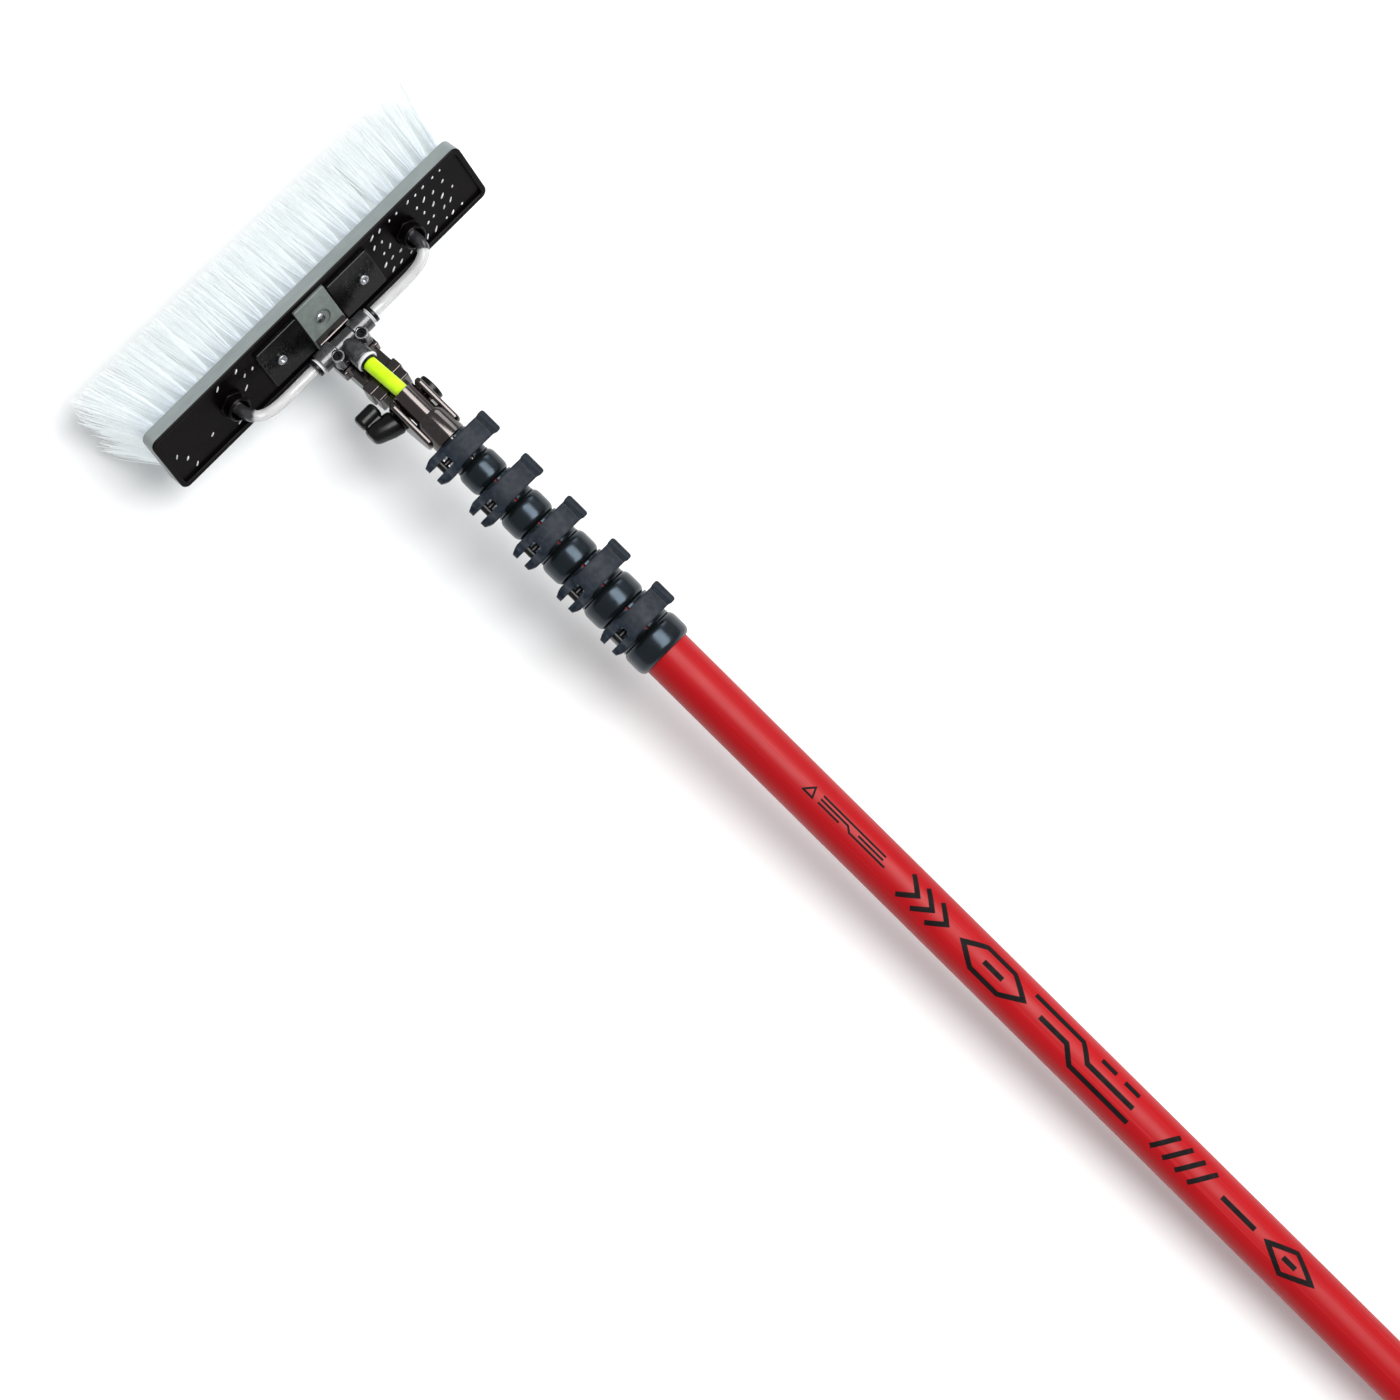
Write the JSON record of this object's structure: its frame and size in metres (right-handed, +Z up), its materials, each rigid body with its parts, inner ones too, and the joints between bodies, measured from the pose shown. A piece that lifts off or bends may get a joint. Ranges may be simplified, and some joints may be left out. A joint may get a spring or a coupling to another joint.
{
  "type": "window cleaning pole system",
  "caption": "Telescopic water-fed window cleaning pole with lever clamps, a tilting neck and a wide brush head fed through a tee and two jets.",
  "frame": {"origin": "middle of the bounding box at floor level, with the pole lying on its butt and its bristle tips", "axes": "+X along the pole towards the brush, +Z up, +Y towards the side of the clamp knob"},
  "size_m": [1.6598, 0.333, 0.1188],
  "materials": {
    "red_lacquer": "gloss",
    "dark_lacquer": "gloss",
    "clamp_plastic": "satin",
    "collar_plastic": "gloss",
    "black_plastic": "satin",
    "cap_rubber": "matte",
    "bright_steel": "satin",
    "black_steel": "satin",
    "neck_plastic": "gloss",
    "tee_plastic": "satin",
    "collet_white": "satin",
    "hose_yellow_green": "satin",
    "clear_tube": "gloss",
    "grey_plastic": "satin",
    "saddle_grey": "satin",
    "tray_plastic": "gloss",
    "bristle_white": "matte"
  },
  "bodies": {
    "base_section": {"base_tube": "red_lacquer", "base_end_cap": "cap_rubber", "clamp_1_collar": "collar_plastic", "clamp_1_barrel_pin": "black_plastic", "clamp_1_tension_screw": "black_steel"},
    "section_2": {"section_2_tube": "red_lacquer", "clamp_2_collar": "collar_plastic", "clamp_2_barrel_pin": "black_plastic", "clamp_2_tension_screw": "black_steel"},
    "section_3": {"section_3_tube": "red_lacquer", "clamp_3_collar": "collar_plastic", "clamp_3_barrel_pin": "black_plastic", "clamp_3_tension_screw": "black_steel"},
    "section_4": {"section_4_tube": "red_lacquer", "clamp_4_collar": "collar_plastic", "clamp_4_barrel_pin": "black_plastic", "clamp_4_tension_screw": "black_steel"},
    "section_5": {"section_5_tube": "red_lacquer", "clamp_5_collar": "collar_plastic", "clamp_5_barrel_pin": "black_plastic", "clamp_5_tension_screw": "black_steel"},
    "section_6": {"section_6_tube": "dark_lacquer", "neck_socket": "neck_plastic", "pivot_bolt": "black_plastic", "feed_hose": "hose_yellow_green"},
    "lever_1": {"clamp_1_lever": "clamp_plastic"},
    "lever_2": {"clamp_2_lever": "clamp_plastic"},
    "lever_3": {"clamp_3_lever": "clamp_plastic"},
    "lever_4": {"clamp_4_lever": "clamp_plastic"},
    "lever_5": {"clamp_5_lever": "clamp_plastic"},
    "knob": {"pivot_knob": "black_plastic"},
    "head": {"neck_arm": "neck_plastic", "tee_body": "tee_plastic", "left_tee_screw": "black_steel", "right_tee_screw": "black_steel", "left_rinse_tube": "clear_tube", "right_rinse_tube": "clear_tube", "left_jet_fitting": "tray_plastic", "right_jet_fitting": "tray_plastic", "left_jet_nozzle": "black_plastic", "right_jet_nozzle": "black_plastic", "brush_stock": "grey_plastic", "stock_tray": "tray_plastic", "left_mount_pad": "black_plastic", "right_mount_pad": "black_plastic", "left_pad_screw": "bright_steel", "right_pad_screw": "bright_steel", "saddle_block": "saddle_grey", "saddle_rivet": "bright_steel", "bristle_pack": "bristle_white"},
    "stem_ring": {"stem_collet": "collet_white"},
    "left_ring": {"left_collet": "black_plastic"},
    "right_ring": {"right_collet": "black_plastic"}
  },
  "joints": [
    {"name": "section_2_slide", "type": "slide", "parent": "base_section", "child": "section_2", "axis": [0.9987, 0, 0.051], "range_m": [0, 1.045]},
    {"name": "section_3_slide", "type": "slide", "parent": "section_2", "child": "section_3", "axis": [0.9987, 0, 0.051], "range_m": [0, 1.045]},
    {"name": "section_4_slide", "type": "slide", "parent": "section_3", "child": "section_4", "axis": [0.9987, 0, 0.051], "range_m": [0, 1.045]},
    {"name": "section_5_slide", "type": "slide", "parent": "section_4", "child": "section_5", "axis": [0.9987, 0, 0.051], "range_m": [0, 1.045]},
    {"name": "section_6_slide", "type": "slide", "parent": "section_5", "child": "section_6", "axis": [0.9987, 0, 0.051], "range_m": [0, 1.045]},
    {"name": "clamp_1_lever_hinge", "type": "hinge", "parent": "base_section", "child": "lever_1", "pos_m": [0.44046, 0.0196, 0.10765], "axis": [-0.9987, 0, -0.051], "range_deg": [0, 105]},
    {"name": "clamp_2_lever_hinge", "type": "hinge", "parent": "section_2", "child": "lever_2", "pos_m": [0.4825, 0.0196, 0.10794], "axis": [-0.9987, 0, -0.051], "range_deg": [0, 105]},
    {"name": "clamp_3_lever_hinge", "type": "hinge", "parent": "section_3", "child": "lever_3", "pos_m": [0.52454, 0.0196, 0.10824], "axis": [-0.9987, 0, -0.051], "range_deg": [0, 105]},
    {"name": "clamp_4_lever_hinge", "type": "hinge", "parent": "section_4", "child": "lever_4", "pos_m": [0.56658, 0.0196, 0.10853], "axis": [-0.9987, 0, -0.051], "range_deg": [0, 105]},
    {"name": "clamp_5_lever_hinge", "type": "hinge", "parent": "section_5", "child": "lever_5", "pos_m": [0.60862, 0.0196, 0.10883], "axis": [-0.9987, 0, -0.051], "range_deg": [0, 105]},
    {"name": "neck_tilt", "type": "hinge", "parent": "section_6", "child": "head", "pos_m": [0.65717, 0, 0.07952], "axis": [0, 1, 0], "range_deg": [-20, 75], "deforming": ["feed_hose"]},
    {"name": "knob_turn", "type": "hinge", "parent": "section_6", "child": "knob", "pos_m": [0.65717, 0, 0.07952], "axis": [0, 1, 0], "range_deg": [-180, 0]},
    {"name": "stem_ring_press", "type": "slide", "parent": "head", "child": "stem_ring", "axis": [0.941, 0, -0.3383], "range_m": [0, 0.001]},
    {"name": "left_ring_press", "type": "slide", "parent": "head", "child": "left_ring", "axis": [0, -1, 0], "range_m": [0, 0.001]},
    {"name": "right_ring_press", "type": "slide", "parent": "head", "child": "right_ring", "axis": [0, 1, 0], "range_m": [0, 0.001]}
  ]
}
